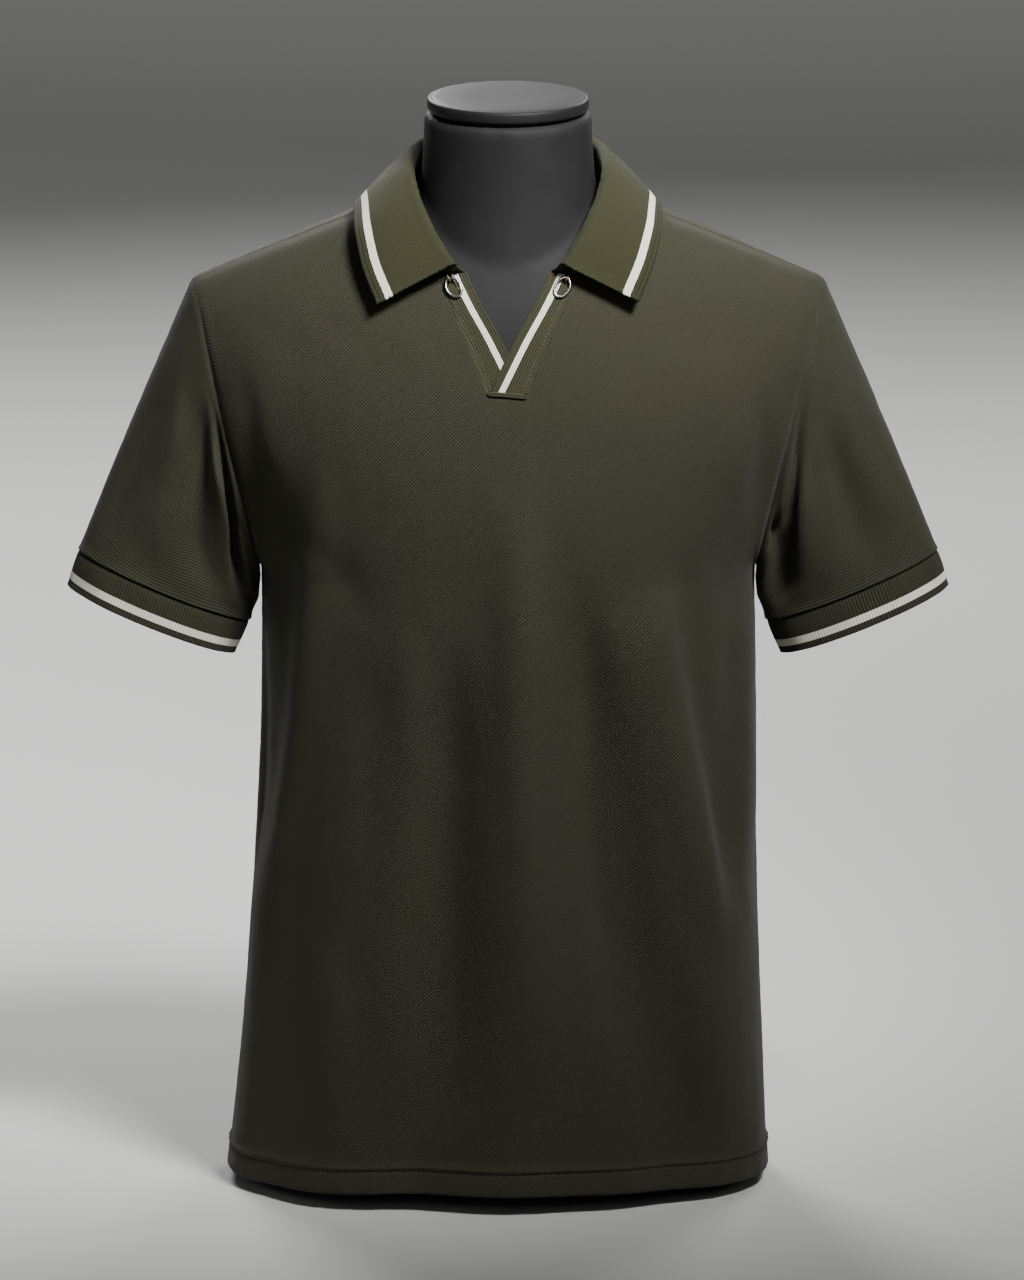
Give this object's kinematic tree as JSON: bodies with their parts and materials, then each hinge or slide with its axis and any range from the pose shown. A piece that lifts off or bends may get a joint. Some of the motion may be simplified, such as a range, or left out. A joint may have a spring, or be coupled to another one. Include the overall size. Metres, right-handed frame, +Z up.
{
  "type": "polo shirt on a dress form",
  "caption": "Short-sleeved olive polo shirt with striped knit collar, cuffs and open placket, worn by a black limbless dress form on a flat base.",
  "frame": {"origin": "bottom centre of the bounding box, in the plane of the dress form's flat base", "axes": "+Z up, the shirt's front faces -Y, +X is the wearer's left"},
  "size_m": [0.646, 0.2706, 0.8125],
  "materials": {
    "pique": "dark olive cotton pique, fine diagonal grain, faint nap",
    "rib_knit": "greener olive flat knit with cream-white stripes",
    "ring_steel": "polished steel wire",
    "loop_thread": "copper-brown sewing thread",
    "form_black": "matte black",
    "cap_black": "satin black"
  },
  "bodies": {
    "shirt_on_form": {"front": "pique", "back": "pique", "sleeve_left": "pique", "sleeve_right": "pique", "cuff_left": "rib_knit", "cuff_right": "rib_knit", "collar": "rib_knit", "placket_left": "rib_knit", "placket_right": "rib_knit", "ring_loop_left": "loop_thread", "ring_loop_right": "loop_thread", "form_body": "form_black", "form_cap": "cap_black"},
    "ring_left": {"neck_ring_left": "ring_steel"},
    "ring_right": {"neck_ring_right": "ring_steel"}
  },
  "joints": [
    {"name": "ring_left_swing", "type": "hinge", "parent": "shirt_on_form", "child": "ring_left", "pos_m": [0.04286, -0.08973, 0.68688], "axis": [-0.8823, 0.1508, 0.4458], "range_deg": [0, 55]},
    {"name": "ring_right_swing", "type": "hinge", "parent": "shirt_on_form", "child": "ring_right", "pos_m": [-0.04286, -0.08973, 0.68688], "axis": [-0.8825, -0.1525, -0.4448], "range_deg": [0, 55]}
  ]
}
